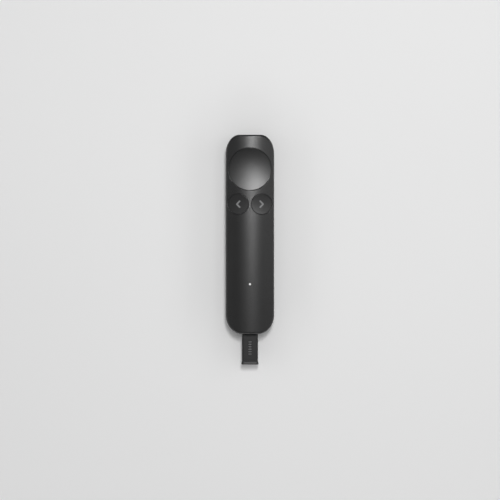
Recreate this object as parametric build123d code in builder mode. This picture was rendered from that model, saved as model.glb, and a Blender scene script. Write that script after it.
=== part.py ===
"""Hand-held wireless presentation clicker with a USB-C receiver stored in its tail.

The clicker lies on its back: X runs across it, +Y points to the head with the dished pointer key,
and +Z rises out of the key face. The origin is the centre of the housing on the resting plane.
"""

import os
from math import asin, atan2, cos, degrees, hypot, radians, sin, sqrt
from typing import NamedTuple

from build123d import *

# ---- Housing -------------------------------------------------------------------------------------
body_length = 131.0
body_width = 31.8
body_height = 13.2  # resting plane to the crown line
crown_radius = 50.0  # the key face is part of a cylinder that runs along the body
head_corner_x = 8.8  # the plan's corners are quarter ellipses
head_corner_y = 12.5
tail_corner_x = 11.1
tail_corner_y = 12.5
wall = 1.6
rear_wall = 1.8
front_edge_round = 1.5
rear_edge_round = 4.0
parting_height = 6.2
seam_chamfer = 0.2
lip_height = 1.0  # tongue that locates the two shells
lip_gap = 0.1
hole_edge_round = 0.2

# ---- Rear pad ------------------------------------------------------------------------------------
pad_inset = 4.5  # from the housing's plan outline
pad_thickness = 0.9
pad_proud = 0.2
pad_gap = 0.1

# ---- Keys ----------------------------------------------------------------------------------------
pointer_from_head = 22.6
pointer_margin = 1.95  # housing left beside the pointer key
pointer_side_fall = 0.85  # how far the hollow falls from its middle to its sides
pointer_travel = 0.5
pointer_skirt_depth = 5.6  # below the crown line
small_from_head = 45.6
small_margin = 1.5  # housing left outside each small key
key_web = 2.0  # housing left between the two small keys
small_side_fall = 0.15
small_travel = 0.4
small_skirt_depth = 4.6
key_gap = 0.15
key_wall = 1.3
key_edge_round = 0.15
hollow_reach = 1.2  # how far the cut for a hollow runs, in key radii
well_clearance = 0.3  # under a pressed skirt
ear_reach = 1.0  # retaining ears at the head and tail side of each key
ear_thickness = 0.9
ear_gap = 0.15
pointer_ear_width = 7.0
small_ear_width = 4.0
post_radius = 1.6
chevron_width = 2.9
chevron_height = 4.95
chevron_stroke = 1.0
chevron_depth = 0.3

# ---- Tactile switches ----------------------------------------------------------------------------
switch_side = 6.0
switch_base_height = 2.1
switch_floor = 0.3
switch_cavity_radius = 2.4
cover_thickness = 0.3
plunger_radius = 1.5
plunger_gap = 0.1
plunger_stand = 0.6  # above the cover; more than any key's travel
flange_radius = 2.0
flange_thickness = 0.85
flange_slack = 0.05
dome_radius = 2.2
dome_thickness = 0.12

# ---- Main board ----------------------------------------------------------------------------------
board_standoff = 1.8
board_thickness = 1.0
board_edge_gap = 1.1
board_corner = 3.0
board_hole_gap = 0.3
board_hole_rim = 1.5  # board left outside the holes for the middle bosses
board_screw_from_edge = 2.8
board_boss_radius = 1.8

# ---- Case screws and their bosses ----------------------------------------------------------------
boss_radius = 2.1
rear_boss_extra = 0.2
boss_drop = 0.1  # rear bosses end this far under the board
boss_clearance = 0.3  # between a boss and the key beside it
head_boss_lean = 34.2  # degrees from +Y, seen from the pointer key's centre
pilot_depth = 5.0
screw_radius = 0.75
screw_length = 5.5
screw_head_radius = 1.3
screw_head_height = 0.8
screw_hole_gap = 0.15
pilot_gap = 0.02
counterbore_depth = 1.0
board_screw_length = 3.0
cross_width = 1.5
cross_slot = 0.35
cross_depth = 0.4

# ---- Receiver and its dock -----------------------------------------------------------------------
receiver_width = 10.6
receiver_thickness = 4.8
receiver_corner = 1.2
receiver_length = 24.6
receiver_wall = 0.9
receiver_exposed = 20.1  # how far it stands out of the tail at rest
receiver_lip_length = 1.8
receiver_lip_step = 0.15  # the lip stands this much over the receiver all round where it starts
receiver_lip_flare = 0.45  # and this much at the tip
receiver_edge_round = 0.35
receiver_stop_gap = 0.1  # between the lip and the tail when stored
panel_side_margin = 1.5
panel_end_margin = 0.8
panel_length = 16.6
panel_depth = 0.2
grip_width = 2.6  # thumb recess in the panel
grip_length = 9.6
grip_depth = 0.3
receiver_board_thickness = 0.8
receiver_board_gap = 0.1
receiver_ledge = 0.9  # shelf on each side that holds the board
receiver_chip_side = 4.0
receiver_chip_height = 0.8
plug_width = 8.25
plug_height = 2.4
plug_length = 6.2
plug_rooted = 2.0
plug_wall = 0.2
plug_mouth_width = 6.9
plug_mouth_height = 1.0
plug_mouth_depth = 5.2
dock_gap = 0.2
dock_wall = 0.9
dock_hole_gap = 0.1
dock_end_gap = 0.6  # before the receiver's stored end
dock_lug_thickness = 1.2
dock_boss_spacing = 0.8
spring_width = 3.0
spring_length = 12.0
spring_thickness = 0.2
spring_gap = 0.05  # over the receiver
spring_end_gap = 0.3
spring_flick_length = 0.9
spring_flick_rise = 0.5
spring_bump_length = 1.4
spring_ramp_length = 2.4
spring_window_gap = 0.3
stake_radius = 0.5
stake_height = 0.5
stake_gap = 0.05
stake_from_end = 1.4

# ---- Charge port ---------------------------------------------------------------------------------
plug_gap = 0.12  # between the stored receiver's plug and the port
port_wall = 0.23
port_length = 7.35
port_back = 1.0
port_overhang = 0.8  # past the board's tail end
port_mouth_gap = 0.2  # between the stored receiver and the port
port_foot_width = 1.6
port_foot_length = 1.2
port_foot_height = 0.3
tongue_gap = 0.12  # inside the plug's mouth, all round
tongue_length = 4.6

# ---- Status light --------------------------------------------------------------------------------
led_behind_port = 2.6
led_size = (1.6, 0.8, 0.6)
led_gap = 0.2
lens_radius = 0.65
lens_hole_gap = 0.05
lens_proud = 0.1
lens_body_radius = 1.6
lens_top_gap = 0.05

# ---- Battery -------------------------------------------------------------------------------------
battery_width = 20.0
battery_thickness = 4.2
battery_edge_round = 1.0
battery_led_room = 3.6
battery_lead_room = 9.0
tape_thickness = 0.4
tape_margin = 1.5
cushion_width = 6.0
cushion_end_margin = 3.0
cushion_top_gap = 0.2
protection_width = 16.0
protection_length = 1.2
protection_height = 2.4
header_width = 6.4
header_length = 4.2
header_height = 2.8
header_wall = 0.7
header_gap = 0.1
battery_plug_length = 4.2
battery_plug_inserted = 2.8
lead_radius = 0.4
lead_spacing = 1.8
lead_bend = 0.5

# ---- Haptic motor --------------------------------------------------------------------------------
motor_radius = 2.0
motor_length = 8.0
motor_from_head = 4.6
motor_lead_room = 2.5  # between the can's back and the screw boss beside it
boot_thickness = 0.6
boot_length = 5.0
cradle_floor = 0.8
cradle_wrap = 0.7  # how high the cradle stands, in boot radii
cradle_gap = 0.05
clamp_width = 1.2
motor_shaft_radius = 0.4
motor_shaft_gap = 0.05
motor_shaft_bore = 3.0
weight_radius = 2.0
weight_length = 3.0
weight_gap = 0.6
weight_hub_radius = 0.9
motor_lead_radius = 0.3
motor_lead_spacing = 1.2
motor_lead_out = 1.2
motor_lead_bend = 0.5
motor_pad_from_edge = 1.4

# ---- Chips on the main board (width, length, height) ---------------------------------------------
shield_size = (13.0, 9.0, 1.7)
shield_wall = 0.2
radio_chip_size = (5.0, 5.0, 0.9)
controller_size = (6.0, 6.0, 0.9)
sensor_size = (3.0, 2.5, 0.9)
antenna_size = (7.0, 2.0, 0.8)
charge_chip_size = (3.0, 3.0, 0.8)
passive_size = (0.6, 1.1, 0.55)
passive_spacing = 1.5
chip_spacing = 1.2


# ---- Places worked out from the sizes above ------------------------------------------------------
def crown_z(x, inset=0.0):
    """Height of the crown at x, or of the surface `inset` under it."""
    return body_height - crown_radius + sqrt((crown_radius - inset) ** 2 - x**2)


half_width = body_width / 2
head_y = body_length / 2
tail_y = -body_length / 2
rear_z = pad_proud
floor_z = rear_z + rear_wall
root_z = floor_z - rear_wall / 3  # where bosses and ribs grow out of the floor

small_radius = (half_width - key_web / 2 - small_margin) / 2
small_offset = small_radius + key_web / 2


class Key(NamedTuple):
    name: str
    x: float
    y: float
    radius: float
    side_fall: float
    skirt_z: float
    travel: float
    ear_width: float

    @property
    def crown_drop(self):
        """How far the crown falls from the key's middle to its side."""
        return crown_radius - sqrt(crown_radius**2 - self.radius**2)

    @property
    def depth(self):
        """Depth of the hollow top under the crown."""
        return self.crown_drop - self.side_fall


pointer = Key(
    "pointer",
    0,
    head_y - pointer_from_head,
    half_width - pointer_margin,
    pointer_side_fall,
    body_height - pointer_skirt_depth,
    pointer_travel,
    pointer_ear_width,
)
small_y = head_y - small_from_head
small_skirt_z = body_height - small_skirt_depth
small = (small_y, small_radius, small_side_fall, small_skirt_z, small_travel, small_ear_width)
back = Key("back", -small_offset, *small)
forward = Key("next", small_offset, *small)
keys = (pointer, back, forward)

board_z = floor_z + board_standoff
board_top = board_z + board_thickness
boss_meet_z = board_z - boss_drop
switch_top = board_top + switch_base_height + cover_thickness
plunger_top = switch_top + plunger_stand
port_width = plug_width + 2 * (plug_gap + port_wall)
port_height = plug_height + 2 * (plug_gap + port_wall)
port_z = board_top + port_height / 2

dock_half_width = receiver_width / 2 + dock_gap
dock_half_height = receiver_thickness / 2 + dock_gap
sleeve_half_width = dock_half_width + dock_wall
sleeve_half_height = dock_half_height + dock_wall
sleeve_corner = receiver_corner + dock_gap + dock_wall
receiver_tip_y = tail_y - receiver_exposed
receiver_inner_y = receiver_tip_y + receiver_length
receiver_stored_travel = receiver_exposed - receiver_lip_length - receiver_stop_gap
receiver_stored_y = receiver_inner_y + receiver_stored_travel
plug_tip_y = receiver_inner_y + plug_length
plug_root_y = receiver_inner_y - plug_rooted
sleeve_end_y = receiver_stored_y - dock_end_gap
port_mouth_y = receiver_stored_y + port_mouth_gap
port_end_y = port_mouth_y + port_length
led_y = port_end_y + led_behind_port

board_half_width = half_width - wall - board_edge_gap
head_boss_reach = pointer.radius + key_gap + boss_clearance + boss_radius
head_screw = (
    head_boss_reach * sin(radians(head_boss_lean)),
    pointer.y + head_boss_reach * cos(radians(head_boss_lean)),
)
tail_screw_x = sleeve_half_width + dock_boss_spacing + boss_radius
tail_screw = (tail_screw_x, (tail_y + sleeve_end_y) / 2 + dock_lug_thickness)
mid_screw_y = small_y - small_radius - ear_reach - boss_radius - 2 * boss_clearance
mid_screw = (board_half_width - board_hole_rim - board_hole_gap - boss_radius, mid_screw_y)
head_screws, mid_screws, tail_screws = (
    [(-x, y), (x, y)] for x, y in (head_screw, mid_screw, tail_screw)
)
case_screw_places = head_screws + mid_screws + tail_screws
screw_seat_z = pad_thickness + counterbore_depth

board_head_y = head_screw[1] - boss_radius - board_edge_gap
board_tail_y = port_mouth_y + port_overhang
board_screw_x = board_half_width - board_screw_from_edge
board_screw_places = [
    (side * board_screw_x, y)
    for side in (-1, 1)
    for y in (pointer.y - pointer.radius + board_boss_radius, led_y)
]

battery_tail_y = led_y + battery_led_room
battery_head_y = mid_screw_y - battery_lead_room
battery_length = battery_head_y - battery_tail_y
battery_y = (battery_head_y + battery_tail_y) / 2
battery_z = board_top + tape_thickness
battery_top = battery_z + battery_thickness

boot_radius = motor_radius + boot_thickness
motor_y = head_y - motor_from_head
motor_z = floor_z + cradle_floor + boot_radius
motor_back_x = -(head_screw[0] - boss_radius - rear_boss_extra - motor_lead_room)
motor_face_x = motor_back_x + motor_length
motor_x = motor_back_x + motor_length / 2


# ---- Shared shapes -------------------------------------------------------------------------------
def section_at(y):
    """Cross-section plane: X across, Z up. A negative extrusion runs towards the head."""
    return Plane(origin=(0, y, 0), x_dir=(1, 0, 0), z_dir=(0, -1, 0))


def end_plane(x):
    """Plane across the body's X axis. A positive extrusion runs towards +X."""
    return Plane(origin=(x, 0, 0), x_dir=(0, 1, 0), z_dir=(1, 0, 0))


def housing_outline(inset):
    """The housing's plan outline, `inset` inside its outer wall."""
    x, y = half_width - inset, head_y - inset
    head_a, head_b = head_corner_x - inset, head_corner_y - inset
    tail_a, tail_b = tail_corner_x - inset, tail_corner_y - inset
    with BuildSketch() as outline:
        with BuildLine():
            Line((x, -y + tail_b), (x, y - head_b))
            EllipticalCenterArc((x - head_a, y - head_b), head_a, head_b, 0, arc_size=90)
            Line((x - head_a, y), (head_a - x, y))
            EllipticalCenterArc((head_a - x, y - head_b), head_a, head_b, 90, arc_size=90)
            Line((-x, y - head_b), (-x, -y + tail_b))
            EllipticalCenterArc((tail_a - x, -y + tail_b), tail_a, tail_b, 180, arc_size=90)
            Line((tail_a - x, -y), (x - tail_a, -y))
            EllipticalCenterArc((x - tail_a, -y + tail_b), tail_a, tail_b, 270, arc_size=90)
        make_face()
    return outline.sketch


def housing_form(inset, bottom_z, rear_round, front_round=0.0):
    """The housing as one solid, `inset` inside its outer surface."""
    with BuildPart() as form:
        with BuildSketch(Plane.XY.offset(bottom_z)):
            add(housing_outline(inset))
        extrude(amount=body_height - bottom_z)
        with Locations((0, 0, body_height - crown_radius)):
            Cylinder(crown_radius - inset, 2 * body_length, rotation=(90, 0, 0), mode=Mode.INTERSECT)
        fillet(form.faces().sort_by(Axis.Z)[0].edges(), rear_round)
        if front_round:
            fillet(form.faces().sort_by(Axis.Z)[-1].edges(), front_round)
    return form.part


def posts(places, radius, bottom_z, top_z):
    """Upright cylinders of one radius between two heights."""
    with BuildPart() as group:
        with BuildSketch(Plane.XY.offset(bottom_z)):
            with Locations(*places):
                Circle(radius)
        extrude(amount=top_z - bottom_z)
    return group.part


def block_on_board(size, x, y):
    """A box that stands on the main board."""
    with BuildPart() as block:
        with Locations((x, y, board_top)):
            Box(*size, align=(Align.CENTER, Align.CENTER, Align.MIN))
    return block.part


def tail_bar(width, height, corner, start_y, end_y):
    """A bar along Y on the receiver's axis, with a rounded section."""
    with BuildPart() as bar:
        with BuildSketch(section_at(start_y)):
            with Locations((0, port_z)):
                RectangleRounded(width, height, corner)
        extrude(amount=start_y - end_y)
    return bar.part


def plug_bar(inset, start_y, end_y):
    """A bar along Y on the receiver's axis, with the plug's section made smaller by `inset`."""
    with BuildPart() as bar:
        with BuildSketch(section_at(start_y)):
            with Locations((0, port_z)):
                SlotOverall(plug_width - 2 * inset, plug_height - 2 * inset)
        extrude(amount=start_y - end_y)
    return bar.part


def key_hollow(key, sunk=0.0):
    """The space above a key's hollow top, lowered by `sunk`.

    The hollow meets the crown all round the key. Along the body it dips; across the body it is
    arched like the crown, only flatter. It is turned about an axis along Y that lies below the key.
    """
    lean = asin(key.x / crown_radius)
    along = (key.radius**2 + key.depth**2) / (2 * key.depth)  # the hollow's radius along the body
    across = (key.radius**2 + key.side_fall**2) / (2 * key.side_fall)  # the arch's radius
    reach = hollow_reach * key.radius
    rim = along - key.depth - sqrt(along**2 - reach**2)
    normal = Vector(sin(lean), 0, cos(lean))
    seat = Vector(key.x, key.y, crown_z(key.x)) - normal * sunk
    side_plane = Plane(origin=seat, x_dir=(0, 1, 0), z_dir=Vector(0, 1, 0).cross(normal))
    with BuildPart() as hollow:
        with BuildSketch(side_plane):
            with BuildLine():
                ThreePointArc((-reach, rim), (0, -key.depth), (reach, rim))
                Polyline((reach, rim), (reach, 2 * reach), (-reach, 2 * reach), (-reach, rim))
            make_face()
        revolve(axis=Axis(seat - normal * (across + key.depth), (0, 1, 0)))
    return hollow.part


def dock_opening():
    """The hole in the tail wall that the dock sleeve comes through."""
    extra = dock_hole_gap
    return tail_bar(
        2 * (sleeve_half_width + extra),
        2 * (sleeve_half_height + extra),
        sleeve_corner + extra,
        tail_y - wall,
        tail_y + 2 * wall,
    )


def wire(points, radius, bend):
    """A round lead along a run of points with rounded bends."""
    with BuildPart() as lead:
        with BuildLine() as route:
            FilletPolyline(*points, radius=bend)
        with BuildSketch(Plane(origin=route.line @ 0, z_dir=route.line % 0)):
            Circle(radius)
        sweep()
    return lead.part


def keep(part, name):
    """Labels a finished piece and writes it under its own name."""
    part.label = name
    export_step(part, f"parts/{name}.step")


os.makedirs("parts", exist_ok=True)

# ---- Front shell ---------------------------------------------------------------------------------
with BuildPart() as front_shell:
    add(housing_form(0, rear_z, rear_edge_round, front_edge_round))
    add(housing_form(wall, floor_z, rear_edge_round - wall), mode=Mode.SUBTRACT)
    split(bisect_by=Plane.XY.offset(parting_height), keep=Keep.TOP)
    seam = front_shell.faces().filter_by(Plane.XY).sort_by(Axis.Z)[0].outer_wire()
    chamfer(seam.edges(), seam_chamfer)
    # rebate for the rear shell's tongue
    with BuildSketch(Plane.XY.offset(parting_height)):
        add(housing_outline(wall / 2))
        add(housing_outline(wall), mode=Mode.SUBTRACT)
    extrude(amount=lip_height + lip_gap, mode=Mode.SUBTRACT)
    # key wells
    for key in keys:
        well_z = key.skirt_z - key.travel - well_clearance
        add(posts([(key.x, key.y)], key.radius + key_gap, well_z, body_height), mode=Mode.SUBTRACT)
    crown_face = front_shell.faces().sort_by(Axis.Z)[-1]
    fillet(crown_face.inner_wires().edges(), hole_edge_round)
    # hole for the status light
    add(posts([(0, led_y)], lens_radius + lens_hole_gap, board_top, body_height), mode=Mode.SUBTRACT)
    # screw pillars
    for places, foot_z in (
        (head_screws + mid_screws, boss_meet_z),
        (tail_screws, boss_meet_z + dock_lug_thickness),
    ):
        for place in places:
            add(posts([place], boss_radius, foot_z, crown_z(place[0], wall / 2)))
        pilot_top_z = boss_meet_z + pilot_depth
        add(posts(places, screw_radius + pilot_gap, foot_z, pilot_top_z), mode=Mode.SUBTRACT)
    # rib that holds the haptic motor down
    clamp_z = motor_z + boot_radius + cradle_gap
    with BuildSketch(Plane.XY.offset(clamp_z)):
        with Locations((motor_x, motor_y)):
            Rectangle(clamp_width, 2 * motor_radius)
    extrude(amount=crown_z(motor_x, wall / 2) - clamp_z)
    add(dock_opening(), mode=Mode.SUBTRACT)
keep(front_shell.part, "front_shell")

# ---- Rear shell ----------------------------------------------------------------------------------
with BuildPart() as rear_shell:
    add(housing_form(0, rear_z, rear_edge_round))
    add(housing_form(wall, floor_z, rear_edge_round - wall), mode=Mode.SUBTRACT)
    split(bisect_by=Plane.XY.offset(parting_height), keep=Keep.BOTTOM)
    seam = rear_shell.faces().filter_by(Plane.XY).sort_by(Axis.Z)[-1].outer_wire()
    chamfer(seam.edges(), seam_chamfer)
    # tongue
    with BuildSketch(Plane.XY.offset(parting_height - lip_height)):
        add(housing_outline(wall / 2 + lip_gap))
        add(housing_outline(wall), mode=Mode.SUBTRACT)
    extrude(amount=2 * lip_height)
    # bosses for the case screws and for the board
    add(posts(case_screw_places, boss_radius + rear_boss_extra, root_z, boss_meet_z))
    add(posts(board_screw_places, board_boss_radius, root_z, board_z))
    # ribs under the dock sleeve
    with BuildSketch(Plane.XY.offset(root_z)):
        with Locations((0, (tail_y + tail_screw[1]) / 2), (0, (sleeve_end_y + tail_screw[1]) / 2)):
            Rectangle(receiver_width, dock_lug_thickness)
    extrude(amount=port_z - sleeve_half_height - root_z)
    # cradle for the haptic motor
    with BuildSketch(Plane.XY.offset(root_z)):
        with Locations((motor_x, motor_y)):
            Rectangle(boot_length, 2 * boot_radius)
    extrude(amount=floor_z + cradle_floor + cradle_wrap * boot_radius - root_z)
    with BuildSketch(end_plane(motor_back_x)):
        with Locations((motor_y, motor_z)):
            Circle(boot_radius + cradle_gap)
    extrude(amount=motor_length, mode=Mode.SUBTRACT)
    # pocket for the rear pad, with the screw heads sunk above it
    with BuildSketch(Plane.XY.offset(rear_z)):
        add(housing_outline(pad_inset))
    extrude(amount=pad_thickness - rear_z, mode=Mode.SUBTRACT)
    head_hole = screw_head_radius + screw_hole_gap
    add(posts(case_screw_places, head_hole, pad_thickness, screw_seat_z), mode=Mode.SUBTRACT)
    shank_hole = screw_radius + screw_hole_gap
    add(posts(case_screw_places, shank_hole, pad_thickness, boss_meet_z), mode=Mode.SUBTRACT)
    add(posts(board_screw_places, screw_radius + pilot_gap, root_z, board_z), mode=Mode.SUBTRACT)
    add(dock_opening(), mode=Mode.SUBTRACT)
keep(rear_shell.part, "rear_shell")

# ---- Rear pad ------------------------------------------------------------------------------------
with BuildPart() as rear_pad:
    with BuildSketch():
        add(housing_outline(pad_inset + pad_gap))
    extrude(amount=pad_thickness)
    fillet(rear_pad.faces().sort_by(Axis.Z)[0].edges(), pad_proud)
keep(rear_pad.part, "rear_pad")

# ---- Screws --------------------------------------------------------------------------------------
with BuildPart() as case_screws:
    add(posts(case_screw_places, screw_head_radius, screw_seat_z - screw_head_height, screw_seat_z))
    add(posts(case_screw_places, screw_radius, screw_seat_z, screw_seat_z + screw_length))
    with BuildSketch(Plane.XY.offset(screw_seat_z - screw_head_height)):
        with Locations(*case_screw_places):
            Rectangle(cross_width, cross_slot)
            Rectangle(cross_slot, cross_width)
    extrude(amount=cross_depth, mode=Mode.SUBTRACT)
keep(case_screws.part, "case_screws")

with BuildPart() as board_screws:
    add(posts(board_screw_places, screw_head_radius, board_top, board_top + screw_head_height))
    add(posts(board_screw_places, screw_radius, board_top - board_screw_length, board_top))
    with BuildSketch(Plane.XY.offset(board_top + screw_head_height - cross_depth)):
        with Locations(*board_screw_places):
            Rectangle(cross_width, cross_slot)
            Rectangle(cross_slot, cross_width)
    extrude(amount=cross_depth, mode=Mode.SUBTRACT)
keep(board_screws.part, "board_screws")


# ---- Keys and the marks on them ------------------------------------------------------------------
def chevron_pocket(key):
    """The room for a chevron in a small key's top, pointing away from the body's middle."""
    side = 1 if key.x > 0 else -1
    tip = side * (chevron_width - chevron_stroke) / 2
    half_height = (chevron_height - chevron_stroke) / 2
    arm_length = hypot(2 * tip, half_height)
    with BuildPart() as pocket:
        with BuildSketch(Plane.XY.offset(key.skirt_z)):
            for end in (-1, 1):
                with Locations((key.x, key.y + end * half_height / 2)):
                    lean = degrees(atan2(end * half_height, -2 * tip))
                    SlotCenterToCenter(arm_length, chevron_stroke, rotation=lean)
        extrude(amount=body_height - key.skirt_z)
        add(key_hollow(key, chevron_depth), mode=Mode.INTERSECT)
    return pocket.part


for key in keys:
    post_top_z = crown_z(key.x) - key.depth - key_wall / 2
    ear_top_z = crown_z(abs(key.x) + key.ear_width / 2, wall) - ear_gap
    with BuildPart() as key_inside:
        add(posts([(key.x, key.y)], key.radius - key_wall, key.skirt_z, body_height))
        add(key_hollow(key, key_wall), mode=Mode.SUBTRACT)
    with BuildPart() as key_cap:
        add(posts([(key.x, key.y)], key.radius, key.skirt_z, body_height))
        add(key_hollow(key), mode=Mode.SUBTRACT)
        fillet(key_cap.faces().sort_by(Axis.Z)[-1].outer_wire().edges(), key_edge_round)
        add(key_inside.part, mode=Mode.SUBTRACT)
        add(posts([(key.x, key.y)], post_radius, plunger_top, post_top_z))
        # retaining ears under the front shell
        with BuildSketch(Plane.XY.offset(ear_top_z - ear_thickness)):
            with Locations((key.x, key.y)):
                Rectangle(key.ear_width, 2 * (key.radius + ear_reach))
                Circle(key.radius - key_wall / 2, mode=Mode.SUBTRACT)
        extrude(amount=ear_thickness)
        if key is not pointer:
            add(chevron_pocket(key), mode=Mode.SUBTRACT)
    keep(key_cap.part, f"{key.name}_key")

for key in (back, forward):
    with BuildPart() as chevron:
        add(chevron_pocket(key))
        add(key_hollow(key), mode=Mode.SUBTRACT)
    keep(chevron.part, f"{key.name}_chevron")

# ---- Tactile switch under each key ---------------------------------------------------------------
cavity_floor_z = board_top + switch_floor
flange_top_z = board_top + switch_base_height - flange_slack
flange_z = flange_top_z - flange_thickness
dome_height = flange_z - flange_slack - cavity_floor_z
dome_sphere = (dome_radius**2 + dome_height**2) / (2 * dome_height)
for key in keys:
    place = [(key.x, key.y)]
    with BuildPart() as switch_base:
        add(block_on_board((switch_side, switch_side, switch_base_height), key.x, key.y))
        add(
            posts(place, switch_cavity_radius, cavity_floor_z, board_top + switch_base_height),
            mode=Mode.SUBTRACT,
        )
    keep(switch_base.part, f"{key.name}_switch_base")

    with BuildPart() as switch_cover:
        with BuildSketch(Plane.XY.offset(switch_top - cover_thickness)):
            with Locations((key.x, key.y)):
                RectangleRounded(switch_side, switch_side, cover_thickness)
                Circle(plunger_radius + plunger_gap, mode=Mode.SUBTRACT)
        extrude(amount=cover_thickness)
    keep(switch_cover.part, f"{key.name}_switch_cover")

    with BuildPart() as switch_dome:
        with Locations((key.x, key.y, cavity_floor_z + dome_height - dome_sphere)):
            Sphere(dome_sphere)
            Sphere(dome_sphere - dome_thickness, mode=Mode.SUBTRACT)
        split(bisect_by=Plane.XY.offset(cavity_floor_z), keep=Keep.TOP)
    keep(switch_dome.part, f"{key.name}_switch_dome")

    with BuildPart() as switch_stem:
        add(posts(place, flange_radius, flange_z, flange_top_z))
        add(posts(place, plunger_radius, flange_top_z, plunger_top))
    keep(switch_stem.part, f"{key.name}_switch_stem")

# ---- Main board and what is soldered to it -------------------------------------------------------
with BuildPart() as main_board:
    with BuildSketch(Plane.XY.offset(board_z)):
        with Locations((0, (board_head_y + board_tail_y) / 2)):
            RectangleRounded(2 * board_half_width, board_head_y - board_tail_y, board_corner)
        with Locations(*mid_screws):
            Circle(boss_radius + board_hole_gap, mode=Mode.SUBTRACT)
        with Locations(*board_screw_places):
            Circle(screw_radius + screw_hole_gap, mode=Mode.SUBTRACT)
    extrude(amount=board_thickness)
keep(main_board.part, "main_board")

shield_y = (pointer.y - switch_side / 2 + small_y + switch_side / 2) / 2
with BuildPart() as radio_shield:
    add(block_on_board(shield_size, 0, shield_y))
    with Locations((0, shield_y, board_top)):
        Box(
            *(size - 2 * shield_wall for size in shield_size[:2]),
            shield_size[2] - shield_wall,
            align=(Align.CENTER, Align.CENTER, Align.MIN),
            mode=Mode.SUBTRACT,
        )
keep(radio_shield.part, "radio_shield")

sensor_y = small_y - (controller_size[1] + sensor_size[1]) / 2 - chip_spacing
antenna_x = board_half_width - board_corner - antenna_size[0] / 2
antenna_y = board_head_y - chip_spacing - antenna_size[1] / 2
charge_chip_x = -(port_width + port_foot_width + charge_chip_size[0]) / 2 - chip_spacing
charge_chip_y = (port_mouth_y + port_end_y) / 2
for name, size, x, y in (
    ("radio_chip", radio_chip_size, 0, shield_y),
    ("controller_chip", controller_size, 0, small_y),
    ("motion_sensor", sensor_size, 0, sensor_y),
    ("chip_antenna", antenna_size, antenna_x, antenna_y),
    ("charge_chip", charge_chip_size, charge_chip_x, charge_chip_y),
    ("status_led", led_size, 0, led_y),
):
    with BuildPart() as chip:
        add(block_on_board(size, x, y))
    keep(chip.part, name)

shield_row_y = shield_y + shield_size[1] / 2 + chip_spacing
passive_rows = (
    (0, small_y + controller_size[1] / 2 + chip_spacing),
    (-board_screw_x + passive_spacing, shield_row_y),
    (board_screw_x - passive_spacing, shield_row_y),
    (-charge_chip_x, charge_chip_y - passive_spacing),
    (-charge_chip_x, charge_chip_y + passive_spacing),
)
with BuildPart() as board_passives:
    with BuildSketch(Plane.XY.offset(board_top)):
        with Locations(*passive_rows):
            with GridLocations(passive_spacing, 0, 3, 1):
                Rectangle(*passive_size[:2])
    extrude(amount=passive_size[2])
keep(board_passives.part, "board_passives")

# ---- Charge port ---------------------------------------------------------------------------------
with BuildPart() as charge_port_shell:
    add(plug_bar(-plug_gap - port_wall, port_mouth_y, port_end_y))
    with Locations(
        *((side * port_width / 2, y, board_top)
          for side in (-1, 1)
          for y in (board_tail_y + port_foot_length, port_end_y - port_foot_length))
    ):
        Box(
            port_foot_width,
            port_foot_length,
            port_foot_height,
            align=(Align.CENTER, Align.CENTER, Align.MIN),
        )
    add(plug_bar(-plug_gap, port_mouth_y, port_end_y), mode=Mode.SUBTRACT)
keep(charge_port_shell.part, "charge_port_shell")

with BuildPart() as charge_port_tongue:
    add(plug_bar(-plug_gap, port_end_y - port_back, port_end_y))
    with BuildSketch(section_at(port_end_y)):
        with Locations((0, port_z)):
            Rectangle(plug_mouth_width - 2 * tongue_gap, plug_mouth_height - 2 * tongue_gap)
    extrude(amount=port_back + tongue_length)
keep(charge_port_tongue.part, "charge_port_tongue")

# ---- Status light --------------------------------------------------------------------------------
with BuildPart() as led_lens:
    add(posts([(0, led_y)], lens_body_radius, board_top, crown_z(lens_body_radius, wall) - lens_top_gap))
    add(posts([(0, led_y)], lens_radius, board_top, body_height + lens_proud))
    fillet(led_lens.faces().sort_by(Axis.Z)[-1].edges(), lens_proud)
    with Locations((0, led_y, board_top)):
        Box(
            *(size + 2 * led_gap for size in led_size[:2]),
            led_size[2] + led_gap,
            align=(Align.CENTER, Align.CENTER, Align.MIN),
            mode=Mode.SUBTRACT,
        )
keep(led_lens.part, "led_lens")

# ---- Battery -------------------------------------------------------------------------------------
with BuildPart() as battery_cell:
    with BuildSketch(section_at(battery_tail_y)):
        with Locations((0, battery_z + battery_thickness / 2)):
            RectangleRounded(battery_width, battery_thickness, battery_edge_round)
    extrude(amount=-battery_length)
keep(battery_cell.part, "battery_cell")

with BuildPart() as battery_tape:
    with Locations((0, battery_y, board_top)):
        Box(
            battery_width - 2 * tape_margin,
            battery_length - 2 * tape_margin,
            tape_thickness,
            align=(Align.CENTER, Align.CENTER, Align.MIN),
        )
keep(battery_tape.part, "battery_tape")

with BuildPart() as battery_cushion:
    with Locations((0, battery_y, battery_top)):
        Box(
            cushion_width,
            battery_length - 2 * cushion_end_margin,
            crown_z(cushion_width / 2, wall) - cushion_top_gap - battery_top,
            align=(Align.CENTER, Align.CENTER, Align.MIN),
        )
keep(battery_cushion.part, "battery_cushion")

battery_mid_z = battery_z + battery_thickness / 2
with BuildPart() as battery_board:
    with Locations((0, battery_head_y + protection_length / 2, battery_mid_z)):
        Box(protection_width, protection_length, protection_height)
keep(battery_board.part, "battery_board")

socket_size = (header_width - 2 * header_wall, header_height - 2 * header_wall)
header_tail_y = mid_screw_y - header_length / 2
socket_z = board_top + header_height / 2
with BuildPart() as battery_header:
    add(block_on_board((header_width, header_length, header_height), 0, mid_screw_y))
    with BuildSketch(section_at(header_tail_y)):
        with Locations((0, socket_z)):
            Rectangle(*socket_size)
    extrude(amount=-(battery_plug_inserted + header_gap), mode=Mode.SUBTRACT)
keep(battery_header.part, "battery_header")

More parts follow.
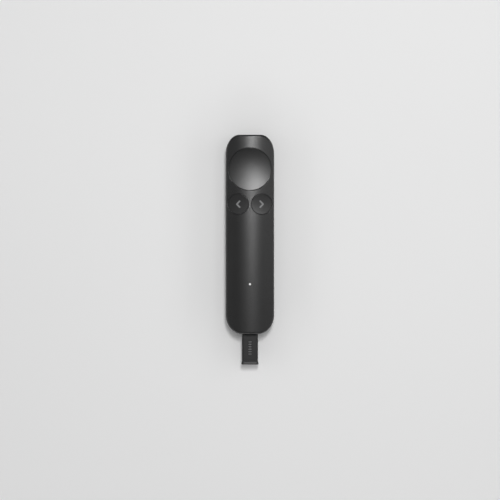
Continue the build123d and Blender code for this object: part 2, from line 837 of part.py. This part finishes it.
plug_tail_y = header_tail_y + battery_plug_inserted - battery_plug_length
with BuildPart() as battery_plug:
    with BuildSketch(section_at(plug_tail_y)):
        with Locations((0, socket_z)):
            Rectangle(*(size - 2 * header_gap for size in socket_size))
    extrude(amount=-battery_plug_length)
keep(battery_plug.part, "battery_plug")

with BuildPart() as battery_leads:
    for side in (-1, 1):
        x = side * lead_spacing / 2
        lead_start_y = battery_head_y + protection_length
        mid_y = (lead_start_y + plug_tail_y) / 2
        add(
            wire(
                [(x, lead_start_y, battery_mid_z), (x, mid_y, battery_mid_z), (x, mid_y, socket_z),
                 (x, plug_tail_y, socket_z)],
                lead_radius,
                lead_bend,
            )
        )
keep(battery_leads.part, "battery_leads")

# ---- Haptic motor --------------------------------------------------------------------------------
with BuildPart() as motor_can:
    with BuildSketch(end_plane(motor_back_x)):
        with Locations((motor_y, motor_z)):
            Circle(motor_radius)
    extrude(amount=motor_length)
    with BuildSketch(end_plane(motor_face_x - motor_shaft_bore)):
        with Locations((motor_y, motor_z)):
            Circle(motor_shaft_radius + motor_shaft_gap)
    extrude(amount=motor_shaft_bore, mode=Mode.SUBTRACT)
keep(motor_can.part, "motor_can")

with BuildPart() as motor_boot:
    with BuildSketch(end_plane(motor_x - boot_length / 2)):
        with Locations((motor_y, motor_z)):
            Circle(boot_radius)
            Circle(motor_radius, mode=Mode.SUBTRACT)
    extrude(amount=boot_length)
keep(motor_boot.part, "motor_boot")

shaft_length = motor_shaft_bore - motor_shaft_gap + weight_gap + weight_length
with BuildPart() as motor_shaft:
    with BuildSketch(end_plane(motor_face_x + weight_gap + weight_length - shaft_length)):
        with Locations((motor_y, motor_z)):
            Circle(motor_shaft_radius)
    extrude(amount=shaft_length)
keep(motor_shaft.part, "motor_shaft")

with BuildPart() as motor_weight:
    with BuildSketch(end_plane(motor_face_x + weight_gap)):
        with Locations((motor_y, motor_z)):
            Circle(weight_radius)
            Rectangle(
                2 * weight_radius, weight_radius, align=(Align.CENTER, Align.MIN), mode=Mode.SUBTRACT
            )
            Circle(weight_hub_radius)
            Circle(motor_shaft_radius, mode=Mode.SUBTRACT)
    extrude(amount=weight_length)
keep(motor_weight.part, "motor_weight")

with BuildPart() as motor_leads:
    for side in (-1, 1):
        start_y = motor_y + side * motor_lead_spacing / 2
        x = motor_back_x - motor_lead_out - side * motor_lead_spacing / 2
        pad_y = board_head_y - motor_pad_from_edge
        over_z = motor_z + motor_lead_spacing
        add(
            wire(
                [(motor_back_x, start_y, over_z), (x, start_y, over_z), (x, pad_y, over_z),
                 (x, pad_y, board_top)],
                motor_lead_radius,
                motor_lead_bend,
            )
        )
keep(motor_leads.part, "motor_leads")

# ---- Dock for the receiver -----------------------------------------------------------------------
receiver_top_z = port_z + receiver_thickness / 2
spring_tip_y = tail_y + wall + spring_end_gap
bump_y = spring_tip_y + spring_flick_length
ramp_y = bump_y + spring_bump_length
ramp_end_y = ramp_y + spring_ramp_length
sleeve_top_z = port_z + sleeve_half_height
bump_z = receiver_top_z + spring_gap
stake_place = [(0, spring_tip_y + spring_length - stake_from_end)]
with BuildPart() as dock_sleeve:
    add(
        tail_bar(
            2 * sleeve_half_width, 2 * sleeve_half_height, sleeve_corner, tail_y, sleeve_end_y
        )
    )
    # lugs that the tail screws clamp
    with BuildSketch(Plane.XY.offset(boss_meet_z)):
        with Locations((0, tail_screw[1])):
            SlotOverall(2 * (tail_screw_x + boss_radius), 2 * boss_radius)
    extrude(amount=dock_lug_thickness)
    add(
        posts(tail_screws, screw_radius + screw_hole_gap, boss_meet_z, boss_meet_z + dock_lug_thickness),
        mode=Mode.SUBTRACT,
    )
    add(posts(stake_place, stake_radius, sleeve_top_z - dock_wall / 2, sleeve_top_z + stake_height))
    add(
        tail_bar(
            2 * dock_half_width,
            2 * dock_half_height,
            receiver_corner + dock_gap,
            tail_y - wall,
            sleeve_end_y + wall,
        ),
        mode=Mode.SUBTRACT,
    )
    # window for the spring
    with BuildSketch(Plane.XY.offset(port_z)):
        with Locations((0, (tail_y + wall + ramp_end_y + spring_window_gap) / 2)):
            Rectangle(
                spring_width + 2 * spring_window_gap,
                ramp_end_y + spring_window_gap - tail_y - wall,
            )
    extrude(amount=sleeve_half_height, mode=Mode.SUBTRACT)
    add(housing_form(0, rear_z, rear_edge_round, front_edge_round), mode=Mode.INTERSECT)
keep(dock_sleeve.part, "dock_sleeve")

with BuildPart() as dock_spring:
    with BuildSketch(end_plane(-spring_width / 2)):
        with BuildLine():
            under = Polyline(
                (spring_tip_y, bump_z + spring_flick_rise),
                (bump_y, bump_z),
                (ramp_y, bump_z),
                (ramp_end_y, sleeve_top_z),
                (spring_tip_y + spring_length, sleeve_top_z),
            )
            over = Polyline(
                (spring_tip_y, bump_z + spring_flick_rise + spring_thickness),
                (bump_y, bump_z + spring_thickness),
                (ramp_y, bump_z + spring_thickness),
                (ramp_end_y, sleeve_top_z + spring_thickness),
                (spring_tip_y + spring_length, sleeve_top_z + spring_thickness),
            )
            Line(under @ 0, over @ 0)
            Line(under @ 1, over @ 1)
        make_face()
    extrude(amount=spring_width)
    add(
        posts(stake_place, stake_radius + stake_gap, sleeve_top_z, sleeve_top_z + spring_thickness),
        mode=Mode.SUBTRACT,
    )
keep(dock_spring.part, "dock_spring")

# ---- Receiver, drawn out of its dock -------------------------------------------------------------
lip_inner_y = receiver_tip_y + receiver_lip_length
cavity_tip_y = lip_inner_y
cavity_inner_y = receiver_inner_y - receiver_wall
board_slot_width = receiver_width - 2 * receiver_wall
panel_start_y = lip_inner_y + panel_end_margin
panel_y = panel_start_y + panel_length / 2
with BuildPart() as receiver_case:
    add(
        tail_bar(
            receiver_width, receiver_thickness, receiver_corner, receiver_tip_y, receiver_inner_y
        )
    )
    # flared lip
    for extra, y in ((receiver_lip_flare, receiver_tip_y), (receiver_lip_step, lip_inner_y)):
        with BuildSketch(section_at(y)):
            with Locations((0, port_z)):
                RectangleRounded(
                    receiver_width + 2 * extra, receiver_thickness + 2 * extra, receiver_corner + extra
                )
    loft()
    end_faces = receiver_case.faces().filter_by(Axis.Y).sort_by(Axis.Y)
    fillet(end_faces[0].edges() + end_faces[-1].edges(), receiver_edge_round)
    # room for the board, with a ledge along each side
    with BuildSketch(section_at(cavity_tip_y)):
        with Locations((0, port_z)):
            Rectangle(board_slot_width, receiver_board_thickness)
            Rectangle(
                board_slot_width - 2 * receiver_ledge, receiver_thickness - 2 * receiver_wall
            )
    extrude(amount=cavity_tip_y - cavity_inner_y, mode=Mode.SUBTRACT)
    add(plug_bar(0, plug_root_y, receiver_inner_y), mode=Mode.SUBTRACT)
    # shallow panel and thumb recess on the front
    with BuildSketch(Plane.XY.offset(receiver_top_z - panel_depth)):
        with Locations((0, panel_y)):
            RectangleRounded(receiver_width - 2 * panel_side_margin, panel_length, panel_side_margin)
    extrude(amount=panel_depth, mode=Mode.SUBTRACT)
    with BuildSketch(Plane.XY.offset(receiver_top_z - panel_depth - grip_depth)):
        with Locations((0, panel_y)):
            SlotOverall(grip_length, grip_width, rotation=90)
    extrude(amount=panel_depth + grip_depth, mode=Mode.SUBTRACT)

for name, side in (("receiver_front_cover", Keep.TOP), ("receiver_back_cover", Keep.BOTTOM)):
    with BuildPart() as receiver_cover:
        add(receiver_case.part)
        split(bisect_by=Plane.XY.offset(port_z), keep=side)
    keep(receiver_cover.part, name)

receiver_board_y = (cavity_tip_y + plug_root_y) / 2
with BuildPart() as receiver_board:
    with Locations((0, receiver_board_y, port_z)):
        Box(
            board_slot_width - 2 * receiver_board_gap,
            plug_root_y - cavity_tip_y,
            receiver_board_thickness,
        )
keep(receiver_board.part, "receiver_board")

with BuildPart() as receiver_chip:
    with Locations((0, receiver_board_y, port_z + receiver_board_thickness / 2)):
        Box(
            receiver_chip_side,
            receiver_chip_side,
            receiver_chip_height,
            align=(Align.CENTER, Align.CENTER, Align.MIN),
        )
keep(receiver_chip.part, "receiver_chip")

with BuildPart() as receiver_plug_shell:
    add(plug_bar(0, plug_root_y, plug_tip_y))
    add(plug_bar(plug_wall, plug_root_y, plug_tip_y), mode=Mode.SUBTRACT)
keep(receiver_plug_shell.part, "receiver_plug_shell")

with BuildPart() as receiver_plug_insert:
    add(plug_bar(plug_wall, plug_root_y, plug_tip_y))
    with BuildSketch(section_at(plug_tip_y)):
        with Locations((0, port_z)):
            Rectangle(plug_mouth_width, plug_mouth_height)
    extrude(amount=plug_mouth_depth, mode=Mode.SUBTRACT)
keep(receiver_plug_insert.part, "receiver_plug_insert")
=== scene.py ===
from math import pi, radians
import bpy
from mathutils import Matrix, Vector


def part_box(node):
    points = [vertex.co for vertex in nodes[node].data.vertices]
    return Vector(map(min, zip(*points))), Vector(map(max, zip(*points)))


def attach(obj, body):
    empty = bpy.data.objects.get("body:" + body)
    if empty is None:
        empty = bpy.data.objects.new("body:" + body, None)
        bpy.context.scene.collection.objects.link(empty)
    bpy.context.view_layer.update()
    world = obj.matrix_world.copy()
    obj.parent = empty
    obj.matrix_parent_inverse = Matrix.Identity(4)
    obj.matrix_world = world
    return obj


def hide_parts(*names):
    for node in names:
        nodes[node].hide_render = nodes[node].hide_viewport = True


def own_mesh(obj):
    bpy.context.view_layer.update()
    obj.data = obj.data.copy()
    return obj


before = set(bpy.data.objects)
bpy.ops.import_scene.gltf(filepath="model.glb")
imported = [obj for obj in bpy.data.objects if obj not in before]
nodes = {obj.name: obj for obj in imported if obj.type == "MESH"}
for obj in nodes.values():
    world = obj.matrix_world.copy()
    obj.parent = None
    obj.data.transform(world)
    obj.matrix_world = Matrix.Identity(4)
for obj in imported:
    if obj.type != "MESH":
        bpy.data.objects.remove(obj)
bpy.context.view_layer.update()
print("frame loaded:", len(nodes), "nodes")

# camera: straight down on the keys, from far off

view = {
    "bodyMiddle": (249.95, 234.5),  # the housing's middle, in pixels from the picture's top left
    "bodyLength": 198.85,           # head to tail, in pixels
    "picture": 500,                 # pixels to a side
    "widestAt": 0.007,              # height of the housing's outline
    "distance": 1.5,                # from there to the lens
    "sensor": 36,                   # in millimetres
    "clipEnd": 20,
}


def placeCamera():
    low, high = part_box("front_shell")
    metresPerPixel = (high.y - low.y) / view["bodyLength"]
    middle = (low + high) / 2
    centre = view["picture"] / 2
    x = middle.x + (centre - view["bodyMiddle"][0]) * metresPerPixel
    y = middle.y + (view["bodyMiddle"][1] - centre) * metresPerPixel
    bpy.ops.object.camera_add(location=(x, y, view["widestAt"] + view["distance"]))
    camera = bpy.context.object
    camera.data.sensor_width = view["sensor"]
    camera.data.lens = view["sensor"] * view["distance"] / (metresPerPixel * view["picture"])
    camera.data.clip_end = view["clipEnd"]
    bpy.context.scene.camera = camera


placeCamera()
print("camera placed")

# helpers for the node trees

noiseSpan = (0.3, 0.7)  # where most of a noise texture's values lie


def newMaterial(name, sockets):
    mat = bpy.data.materials.new(name)
    mat.use_nodes = True
    shader = mat.node_tree.nodes["Principled BSDF"]
    for socket, value in sockets.items():
        shader.inputs[socket].default_value = value
    return mat, mat.node_tree, shader


def addNode(tree, kind, **values):
    node = tree.nodes.new(kind)
    for key, value in values.items():
        if key in node.inputs:
            node.inputs[key].default_value = value
        else:
            setattr(node, key, value)
    return node


def objectCoords(tree, scale=(1, 1, 1)):
    coords = addNode(tree, "ShaderNodeTexCoord")
    mapping = addNode(tree, "ShaderNodeMapping", Scale=scale)
    tree.links.new(coords.outputs["Object"], mapping.inputs["Vector"])
    return mapping.outputs["Vector"]


def addNoise(tree, vector, scale, detail, roughness=0.5):
    noise = addNode(tree, "ShaderNodeTexNoise", Scale=scale, Detail=detail, Roughness=roughness)
    tree.links.new(vector, noise.inputs["Vector"])
    return noise.outputs["Fac"]


def addRamp(tree, fac, first, last):  # the two ends, each a place and a colour
    ramp = addNode(tree, "ShaderNodeValToRGB")
    for element, (place, colour) in zip(ramp.color_ramp.elements, (first, last)):
        element.position = place
        element.color = (*colour, 1)
    tree.links.new(fac, ramp.inputs["Fac"])
    return ramp.outputs["Color"]


def addRange(tree, fac, low, high):  # noise in, a value from low to high out
    node = addNode(tree, "ShaderNodeMapRange")
    for socket, value in zip(node.inputs[1:5], (*noiseSpan, low, high)):
        socket.default_value = value
    tree.links.new(fac, node.inputs["Value"])
    return node.outputs["Result"]


def addBump(tree, shader, height, strength, distance):
    bump = addNode(tree, "ShaderNodeBump", Strength=strength, Distance=distance)
    tree.links.new(height, bump.inputs["Height"])
    tree.links.new(bump.outputs["Normal"], shader.inputs["Normal"])


def shade(colour, factor):
    return tuple(channel * factor for channel in colour)


def addClouds(tree, shader, noise, dark, pale):
    colour = addRamp(tree, noise, (noiseSpan[0], dark), (noiseSpan[1], pale))
    tree.links.new(colour, shader.inputs["Base Color"])


# smooth surfaces: a colour that sinks in clouds to a darker shade
def clouded(name, look, sockets):
    mat, tree, shader = newMaterial(name, {"Roughness": look["rough"], **sockets})
    noise = addNoise(tree, objectCoords(tree), look["cloud"], look["detail"])
    addClouds(tree, shader, noise, shade(look["colour"], look["darkest"]), look["colour"])
    return mat


plainLook = {  # what a grained finish has where it says nothing else
    "stretch": (1, 1, 1),
    "cloud": 90,            # clouds to the metre
    "cloudDetail": 3,
    "spread": 0.1,          # share by which the colour swings
    "grainDetail": 2,
    "grainRough": 0.6,
    "roughSwing": 0.04,
    "relief": 0.3,
    "gloss": 0.5,
    "metal": 0,
    "coat": 0,
    "coatRough": 0.15,
    "sheen": 0,
}


# moulded or rolled surfaces: cloudy colour, fine grain in roughness and relief
def grained(name, ownLook):
    look = {**plainLook, **ownLook}
    mat, tree, shader = newMaterial(name, {
        "Metallic": look["metal"],
        "Specular IOR Level": look["gloss"],
        "Coat Weight": look["coat"],
        "Coat Roughness": look["coatRough"],
        "Sheen Weight": look["sheen"],
    })
    coords = objectCoords(tree, look["stretch"])
    cloud = addNoise(tree, coords, look["cloud"], look["cloudDetail"])
    fine = addNoise(tree, coords, look["grain"], look["grainDetail"], look["grainRough"])
    colour, spread = look["colour"], look["spread"]
    addClouds(tree, shader, cloud, shade(colour, 1 - spread), shade(colour, 1 + spread))
    rough, swing = look["rough"], look["roughSwing"]
    tree.links.new(addRange(tree, fine, rough - swing, rough + swing), shader.inputs["Roughness"])
    addBump(tree, shader, fine, look["relief"], look["depth"])
    return mat


def dress(mat, *names):
    for name in names:
        for slot in nodes[name].material_slots:
            slot.material = mat


# floor, lamps and world

studio = {
    "floorSide": 8,
    "floorFinish": {
        "colour": (0.85, 0.85, 0.85), "darkest": 0.985, "cloud": 3, "detail": 2, "rough": 0.9},
    "floorGloss": 0.2,
    "worldColour": (0.17, 0.17, 0.17),
}
lamps = {  # place, target, width and length, radiance
    "farLeft": ((-0.035, 0.358, 0.91), (-0.035, 0.358, 0), (0.070, 0.150), 12.0),
    "farRight": ((0.080, 0.358, 0.91), (0.080, 0.358, 0), (0.160, 0.150), 33.5),
    "midLeft": ((0.039, 0.222, 0.91), (0.039, 0.222, 0), (0.078, 0.121), 20.6),
    "midRight": ((0.117, 0.222, 0.91), (0.117, 0.222, 0), (0.078, 0.121), 18.5),
    "near": ((0.039, 0.110, 0.91), (0.039, 0.110, 0), (0.078, 0.104), 23.8),
    "leftFill": ((-0.70, 0.00, 0.78), (0, 0, 0), (0.40, 0.60), 0.3),
    "rightFill": ((0.55, 0.13, 0.78), (0, 0, 0), (0.40, 0.45), 0.8),
    "rimLeft": ((-1.10, 0.00, 0.40), (0, 0, 0), (1.20, 0.25), 2.4),
    "rimRight": ((1.10, 0.00, 0.40), (0, 0, 0), (1.20, 0.25), 3.2),
    "rimTail": ((0.00, -1.10, 0.40), (0, 0, 0), (0.80, 0.25), 3.8),
    "cornerLeft": ((-0.80, -0.80, 0.40), (0, 0, 0), (0.60, 0.25), 2.8),
    "cornerRight": ((0.80, -0.80, 0.40), (0, 0, 0), (0.60, 0.25), 2.6),
}


def makeFloor():
    bpy.ops.mesh.primitive_plane_add(size=studio["floorSide"], location=(0, 0, 0))
    floor = bpy.context.object
    floor.name = "studioFloor"
    gloss = {"Specular IOR Level": studio["floorGloss"]}
    floor.data.materials.append(clouded("floorPaper", studio["floorFinish"], gloss))


def addLamp(name, place, target, size, radiance):
    bpy.ops.object.light_add(type="AREA", location=place)
    lamp = bpy.context.object
    lamp.name = name
    lamp.data.shape = "RECTANGLE"
    lamp.data.size, lamp.data.size_y = size
    lamp.data.energy = radiance * size[0] * size[1] * pi
    lamp.visible_camera = False
    lamp.rotation_euler = (Vector(target) - Vector(place)).to_track_quat("-Z", "Y").to_euler()


makeFloor()
for name, settings in lamps.items():
    addLamp(name, *settings)
world = bpy.data.worlds.new("studioWorld")
world.use_nodes = True
world.node_tree.nodes["Background"].inputs["Color"].default_value = (*studio["worldColour"], 1)
bpy.context.scene.world = world
bpy.context.scene.view_settings.view_transform = "Standard"
print("studio set")

# finishes of the CAD nodes

looks = {  # grain counts grains to the metre, depth is their height
    "graphiteShell": {
        "colour": (0.0080, 0.0080, 0.0082), "rough": 0.30, "grain": 5200, "depth": 0.00001,
        "gloss": 0.62,
        "nodes": ("front_shell", "rear_shell")},
    "graphiteKey": {
        "colour": (0.0078, 0.0078, 0.0080), "rough": 0.30, "grain": 6500, "depth": 0.000008,
        "nodes": ("pointer_key",)},
    "graphiteSmallKey": {
        "colour": (0.0125, 0.0125, 0.0127), "rough": 0.31, "grain": 6500, "depth": 0.000008,
        "nodes": ("back_key", "next_key")},
    "greyMark": {
        "colour": (0.190, 0.192, 0.195), "rough": 0.45, "grain": 6500, "depth": 0.000008,
        "nodes": ("back_chevron", "next_chevron")},
    "receiverSatin": {
        "colour": (0.0100, 0.0100, 0.0102), "rough": 0.45, "grain": 6500, "depth": 0.000006,
        "gloss": 0.4,
        "nodes": ("receiver_front_cover", "receiver_back_cover")},
    "dockPlastic": {
        "colour": (0.010, 0.010, 0.0102), "rough": 0.5, "grain": 5200, "depth": 0.00001,
        "nodes": ("dock_sleeve",)},
    "springSteel": {
        "colour": (0.60, 0.59, 0.57), "rough": 0.28, "grain": 2600, "depth": 0.000004,
        "metal": 1, "stretch": (1, 0.06, 1), "spread": 0.06,
        "nodes": ("dock_spring", "pointer_switch_dome", "back_switch_dome", "next_switch_dome")},
    "screwSteel": {
        "colour": (0.46, 0.46, 0.47), "rough": 0.3, "grain": 4200, "depth": 0.000006,
        "metal": 1,
        "nodes": ("case_screws", "board_screws")},
    "connectorSteel": {
        "colour": (0.64, 0.64, 0.65), "rough": 0.24, "grain": 3000, "depth": 0.000003,
        "metal": 1, "stretch": (1, 0.05, 1), "spread": 0.05,
        "nodes": ("charge_port_shell", "receiver_plug_shell", "radio_shield",
                  "pointer_switch_cover", "back_switch_cover", "next_switch_cover")},
    "connectorPlastic": {
        "colour": (0.012, 0.012, 0.0125), "rough": 0.4, "grain": 7000, "depth": 0.000005,
        "nodes": ("charge_port_tongue", "receiver_plug_insert", "battery_header",
                  "battery_plug")},
    "chipResin": {
        "colour": (0.022, 0.022, 0.023), "rough": 0.55, "grain": 8000, "depth": 0.000008,
        "nodes": ("radio_chip", "controller_chip", "motion_sensor", "charge_chip",
                  "receiver_chip")},
    "chipCeramic": {
        "colour": (0.50, 0.40, 0.28), "rough": 0.5, "grain": 7000, "depth": 0.000006,
        "nodes": ("chip_antenna", "board_passives")},
    "batteryFoil": {
        "colour": (0.62, 0.63, 0.65), "rough": 0.3, "grain": 700, "depth": 0.00006, "metal": 1,
        "relief": 0.5,
        "nodes": ("battery_cell",)},
    "batteryTape": {
        "colour": (0.68, 0.52, 0.16), "rough": 0.35, "grain": 1400, "depth": 0.00002,
        "coat": 0.3,
        "nodes": ("battery_tape",)},
    "leadJacket": {
        "colour": (0.36, 0.02, 0.02), "rough": 0.4, "grain": 3000, "depth": 0.00001,
        "nodes": ("battery_leads", "motor_leads")},
    "motorSteel": {
        "colour": (0.55, 0.55, 0.57), "rough": 0.26, "grain": 3200, "depth": 0.000004,
        "metal": 1, "stretch": (0.06, 1, 1),
        "nodes": ("motor_can", "motor_shaft", "motor_weight")},
    "motorBoot": {
        "colour": (0.02, 0.02, 0.021), "rough": 0.75, "grain": 3600, "depth": 0.00002,
        "sheen": 0.1,
        "nodes": ("motor_boot",)},
    "foamCells": {
        "colour": (0.05, 0.05, 0.052), "rough": 0.9, "grain": 2600, "depth": 0.00012,
        "relief": 0.7,
        "nodes": ("battery_cushion",)},
    "switchPlastic": {
        "colour": (0.016, 0.016, 0.017), "rough": 0.5, "grain": 6500, "depth": 0.000006,
        "nodes": ("pointer_switch_base", "back_switch_base", "next_switch_base")},
    "switchStem": {
        "colour": (0.48, 0.25, 0.10), "rough": 0.45, "grain": 6500, "depth": 0.000006,
        "nodes": ("pointer_switch_stem", "back_switch_stem", "next_switch_stem")},
}
for name, look in looks.items():
    dress(grained(name, look), *look["nodes"])

boardLook = {
    "mask": (0.008, 0.060, 0.030),
    "track": (0.020, 0.120, 0.060),
    "stretch": (1, 0.25, 1),
    "tracks": 900,          # tracks to the metre
    "trackEdge": (0.40, 0.46),
    "trackRelief": 0.4,
    "trackDepth": 0.00003,
    "rough": 0.3,
    "coat": 0.4,
}


def solderMask():  # green mask with raised tracks that run along the board
    sockets = {"Roughness": boardLook["rough"], "Coat Weight": boardLook["coat"]}
    mat, tree, shader = newMaterial("solderMask", sockets)
    coords = objectCoords(tree, boardLook["stretch"])
    cells = addNode(tree, "ShaderNodeTexVoronoi", Scale=boardLook["tracks"], distance="CHEBYCHEV")
    tree.links.new(coords, cells.inputs["Vector"])
    space, track = boardLook["trackEdge"]
    lines = addRamp(tree, cells.outputs["Distance"], (space, (0, 0, 0)), (track, (1, 1, 1)))
    colour = addRamp(tree, lines, (0.0, boardLook["mask"]), (1.0, boardLook["track"]))
    tree.links.new(colour, shader.inputs["Base Color"])
    addBump(tree, shader, lines, boardLook["trackRelief"], boardLook["trackDepth"])
    return mat


dress(solderMask(), "main_board", "battery_board", "receiver_board")

statusLight = {
    "pipe": {  # a clear pin, lit from below
        "colour": (0.23, 0.23, 0.23), "darkest": 0.9, "cloud": 900, "detail": 1, "rough": 0.2},
    "light": (1, 1, 1),
    "strength": 0.62,
    "phosphor": {
        "colour": (0.80, 0.66, 0.22), "darkest": 0.85, "cloud": 2500, "detail": 2, "rough": 0.25},
    "phosphorCoat": 0.8,
}
glow = {"Emission Color": (*statusLight["light"], 1), "Emission Strength": statusLight["strength"]}
dress(clouded("litPipe", statusLight["pipe"], glow), "led_lens")
coat = {"Coat Weight": statusLight["phosphorCoat"]}
dress(clouded("phosphorChip", statusLight["phosphor"], coat), "status_led")
print("finishes set")

# helpers for new pieces

meshing = {
    "ballSegments": 16,
    "ballRings": 9,
    "weld": 1e-6,           # corners nearer than this are one
    "crease": radians(35),  # edges that turn by more stay sharp
}


def pick(piece):  # the only one selected, and active
    bpy.ops.object.select_all(action="DESELECT")
    piece.select_set(True)
    bpy.context.view_layer.objects.active = piece


def settle(piece):  # the place goes into the mesh
    pick(piece)
    bpy.ops.object.transform_apply(location=True, rotation=True, scale=True)


def selectVerts(piece, keep):
    bpy.ops.object.mode_set(mode="EDIT")
    bpy.ops.mesh.select_mode(type="VERT")
    bpy.ops.mesh.select_all(action="DESELECT")
    bpy.ops.object.mode_set(mode="OBJECT")
    for vert in piece.data.vertices:
        vert.select = keep(vert.co)
    bpy.ops.object.mode_set(mode="EDIT")


def makeRod(place, length, radius):  # round-ended, along X, drawn out from a ball
    bpy.ops.mesh.primitive_uv_sphere_add(
        segments=meshing["ballSegments"], ring_count=meshing["ballRings"], radius=radius,
        location=place, rotation=(0, radians(90), 0))
    rod = bpy.context.object
    settle(rod)
    for side in (-1, 1):
        selectVerts(rod, lambda co: side * (co.x - place[0]) > 0)
        bpy.ops.transform.translate(value=(side * (length / 2 - radius), 0, 0))
    bpy.ops.object.mode_set(mode="OBJECT")
    return rod


def firstInRow(row, middle=0):
    return middle - row["pitch"] * (row["count"] - 1) / 2


def repeatRow(piece, count, step):
    pick(piece)
    row = piece.modifiers.new("row", "ARRAY")
    row.count = count
    row.use_relative_offset = False
    row.use_constant_offset = True
    row.constant_offset_displace = step
    bpy.ops.object.modifier_apply(modifier="row")


def copyNode(name):
    piece = nodes[name].copy()
    piece.data = nodes[name].data.copy()
    piece.parent = None
    bpy.context.collection.objects.link(piece)
    pick(piece)
    bpy.ops.mesh.customdata_custom_splitnormals_clear()
    bpy.ops.object.mode_set(mode="EDIT")
    bpy.ops.mesh.select_all(action="SELECT")
    bpy.ops.mesh.remove_doubles(threshold=meshing["weld"])
    bpy.ops.object.mode_set(mode="OBJECT")
    return piece


def finishPiece(piece, name, mat, body):
    pick(piece)
    piece.name = name
    piece.data.name = name
    piece.data.materials.clear()
    piece.data.materials.append(mat)
    bpy.ops.object.shade_smooth_by_angle(angle=meshing["crease"])
    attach(piece, body)


# rear pad: soft rubber with grip grooves across it

padGrooves = {
    "count": 37,
    "pitch": 0.0026,
    "length": 0.0150,
    "radius": 0.00060,
    "depth": 0.00028,
    "padFinish": {
        "colour": (0.0125, 0.0125, 0.0128), "rough": 0.62, "grain": 3000, "depth": 0.000018,
        "relief": 0.5, "sheen": 0.05, "gloss": 0.6},
}


def makeRearPad():
    pad = copyNode("rear_pad")
    place = (0, firstInRow(padGrooves), padGrooves["depth"] - padGrooves["radius"])
    cutter = makeRod(place, padGrooves["length"], padGrooves["radius"])
    repeatRow(cutter, padGrooves["count"], (0, padGrooves["pitch"], 0))
    pick(pad)
    cut = pad.modifiers.new("grooves", "BOOLEAN")
    cut.operation = "DIFFERENCE"
    cut.solver = "EXACT"
    cut.object = cutter
    bpy.ops.object.modifier_apply(modifier="grooves")
    bpy.data.objects.remove(cutter)
    softPad = grained("softPad", padGrooves["padFinish"])
    finishPiece(pad, "rearPad", softPad, "housing")
    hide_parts("rear_pad")


makeRearPad()
print("rear pad made")

# switch domes: spring steel copies of the CAD domes, each with a mesh of its own

domeKeep = {"pointer": 0.38, "back": 0.48, "next": 0.48}  # share of height left when pressed


def makeDome(key):
    name = f"{key}_switch_dome"
    dome = copyNode(name)
    steel = bpy.data.materials["springSteel"]
    finishPiece(dome, f"{key}Dome", steel, "housing")
    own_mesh(dome)
    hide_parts(name)


for key, keep in domeKeep.items():
    makeDome(key)
print("switch domes made")

# receiver: grip bars in its thumb recess, and the plug's contacts

plugLow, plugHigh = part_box("receiver_plug_insert")
plugAxisZ = (plugLow.z + plugHigh.z) / 2

gripBars = {
    "count": 6,
    "pitch": 0.0016,
    "length": 0.0023,
    "radius": 0.00045,
    "middleY": -0.0747,
    "faceAboveAxis": 0.0024,  # the receiver's front face over the plug's axis
    "recess": 0.0005,         # from that face to the recess's floor
    "finish": {"colour": (0.105, 0.105, 0.107), "rough": 0.5, "grain": 6500, "depth": 0.000006},
}


def makeGripBars():
    floorZ = plugAxisZ + gripBars["faceAboveAxis"] - gripBars["recess"]
    place = (0, firstInRow(gripBars, gripBars["middleY"]), floorZ)
    bars = makeRod(place, gripBars["length"], gripBars["radius"])
    repeatRow(bars, gripBars["count"], (0, gripBars["pitch"], 0))
    gripGrey = grained("gripGrey", gripBars["finish"])
    finishPiece(bars, "receiverGripBars", gripGrey, "receiver")


contacts = {
    "count": 12,
    "pitch": 0.0005,
    "width": 0.00026,
    "length": 0.0030,
    "height": 0.00008,
    "edge": 0.00003,
    "edgeSteps": 2,
    "mouthHalf": 0.0005,      # half the height of the plug's mouth
    "fromMouth": 0.0006,
    "finish": {
        "colour": (0.95, 0.66, 0.28), "rough": 0.22, "grain": 5000, "depth": 0.000002,
        "metal": 1, "spread": 0.04},
}


def makeContactRow(name, mat, side):  # on the mouth's front for 1, on its back for -1
    middleY = plugHigh.y - contacts["fromMouth"] - contacts["length"] / 2
    z = plugAxisZ + side * contacts["mouthHalf"]
    bpy.ops.mesh.primitive_cube_add(size=1, location=(firstInRow(contacts), middleY, z))
    strips = bpy.context.object
    strips.scale = (contacts["width"], contacts["length"], contacts["height"])
    settle(strips)
    bpy.ops.object.mode_set(mode="EDIT")
    bpy.ops.mesh.select_all(action="SELECT")
    bpy.ops.mesh.bevel(offset=contacts["edge"], segments=contacts["edgeSteps"])
    bpy.ops.object.mode_set(mode="OBJECT")
    repeatRow(strips, contacts["count"], (contacts["pitch"], 0, 0))
    finishPiece(strips, name, mat, "receiver")


makeGripBars()
goldPlate = grained("goldPlate", contacts["finish"])
makeContactRow("plugContactsFront", goldPlate, 1)
makeContactRow("plugContactsBack", goldPlate, -1)
print("receiver details made")
